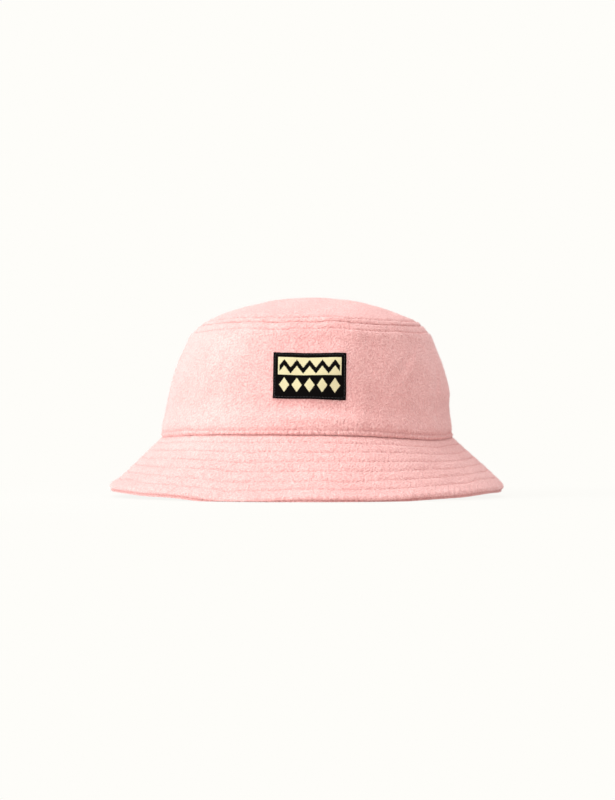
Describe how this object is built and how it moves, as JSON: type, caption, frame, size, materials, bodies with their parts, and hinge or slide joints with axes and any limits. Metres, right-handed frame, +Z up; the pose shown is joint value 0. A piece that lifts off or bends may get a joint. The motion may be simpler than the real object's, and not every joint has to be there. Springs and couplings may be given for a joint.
{
  "type": "bucket hat",
  "caption": "Soft pink towelling bucket hat with a domed oval crown, a sloping brim sewn in rows, and a small black label.",
  "frame": {"origin": "centre of the brim's footprint, on the plane the hat stands on", "axes": "+Z up, the wearer faces -Y, +X is the wearer's left"},
  "size_m": [0.2546, 0.2816, 0.1275],
  "materials": {
    "towelling": "looped pile, matte",
    "stiffener": "non-woven, matte",
    "lining": "plain weave, matte",
    "band": "twill, matte",
    "thread": "spun thread, low sheen",
    "black_weave": "damask weave",
    "label_thread": "spun thread",
    "label_tape": "satin ribbon"
  },
  "bodies": {
    "shell": {"crown_side_front": "towelling", "crown_side_back": "towelling", "brim_top_front": "towelling", "brim_top_back": "towelling", "brim_under_front": "towelling", "brim_under_back": "towelling", "brim_interlining_front": "stiffener", "brim_interlining_back": "stiffener", "lining_side_front": "lining", "lining_side_back": "lining", "sweatband": "band", "front_label": "black_weave", "label_stitching": "label_thread", "tip_topstitch_lower": "thread", "base_topstitch": "thread", "brim_stitching": "thread", "brim_edge_stitching": "thread", "sweatband_stitching": "thread"},
    "crown_top": {"crown_tip": "towelling", "lining_tip": "lining", "tip_topstitch_upper": "thread"},
    "care_flap": {"care_label": "label_tape"},
    "size_flap": {"size_label": "label_tape"}
  },
  "joints": [
    {"name": "crown_press", "type": "slide", "parent": "shell", "child": "crown_top", "axis": [0, 0, -1], "range_m": [0, 0.018], "stiffness_N_per_m": 80, "springref_m": -0.004},
    {"name": "care_label_flip", "type": "hinge", "parent": "shell", "child": "care_flap", "pos_m": [0.08473, 0, 0.07], "axis": [0, 1, 0], "range_deg": [0, 100]},
    {"name": "size_label_flip", "type": "hinge", "parent": "shell", "child": "size_flap", "pos_m": [0, 0.09409, 0.07], "axis": [-1, 0, 0], "range_deg": [0, 100]}
  ]
}
